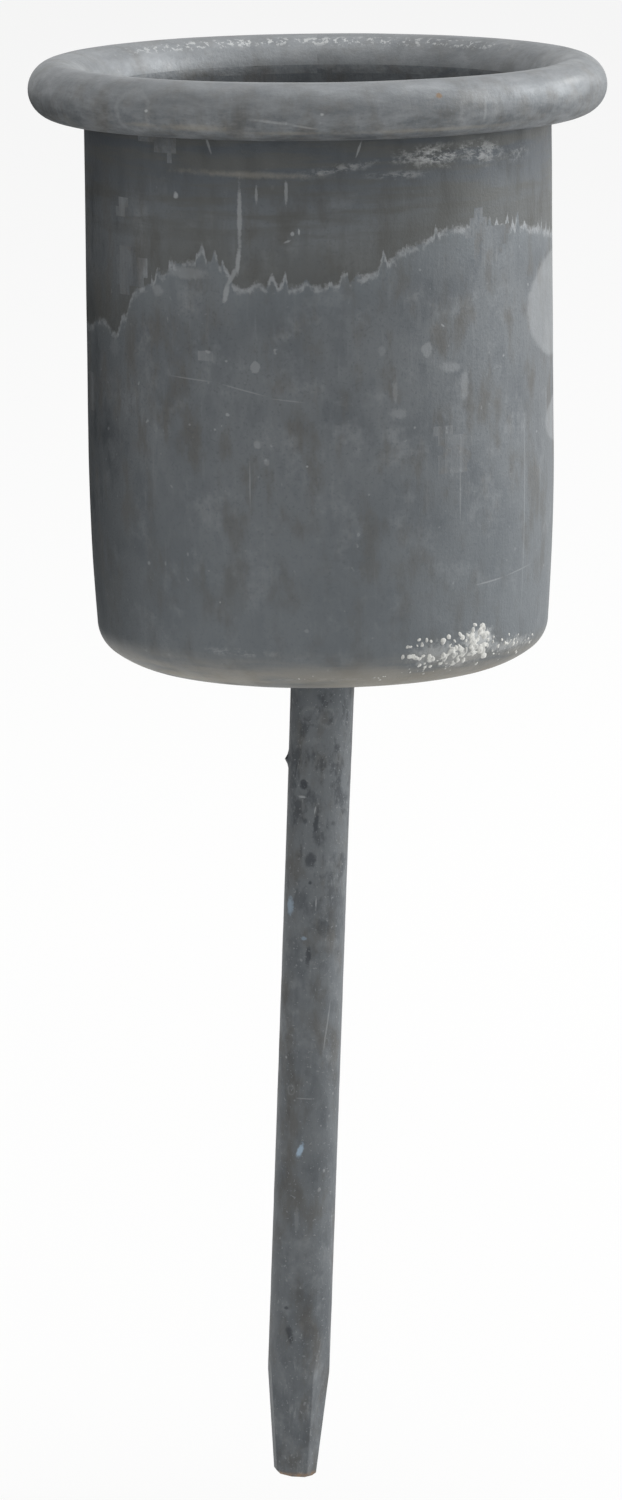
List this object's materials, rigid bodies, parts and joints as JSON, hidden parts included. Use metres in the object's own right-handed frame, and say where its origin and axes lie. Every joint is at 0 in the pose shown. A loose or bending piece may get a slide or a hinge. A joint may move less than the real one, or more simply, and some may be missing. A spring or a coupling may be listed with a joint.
{
  "type": "candle spike",
  "caption": "Candle holder on a spike: drawn sheet-metal cup with a rolled rim, carried on a leaning nail with a blunt faceted point.",
  "frame": {"origin": "centre of the cup's underside, where the nail leaves it", "axes": "+Z along the cup's axis, out of its mouth; the nail goes down and leans towards -X"},
  "size_m": [0.0302, 0.0302, 0.0759],
  "materials": {
    "zinc_sheet": "dull zinc coat gone grey with age, with a tide line, drips and white oxide",
    "zinc_nail": "dull zinc coat, blotched and scratched, with a little rust at the cut end",
    "solder": "dull grey solder"
  },
  "bodies": {
    "root": {"cup": "zinc_sheet", "spike": "zinc_nail", "solder_fillet": "solder"}
  },
  "joints": []
}
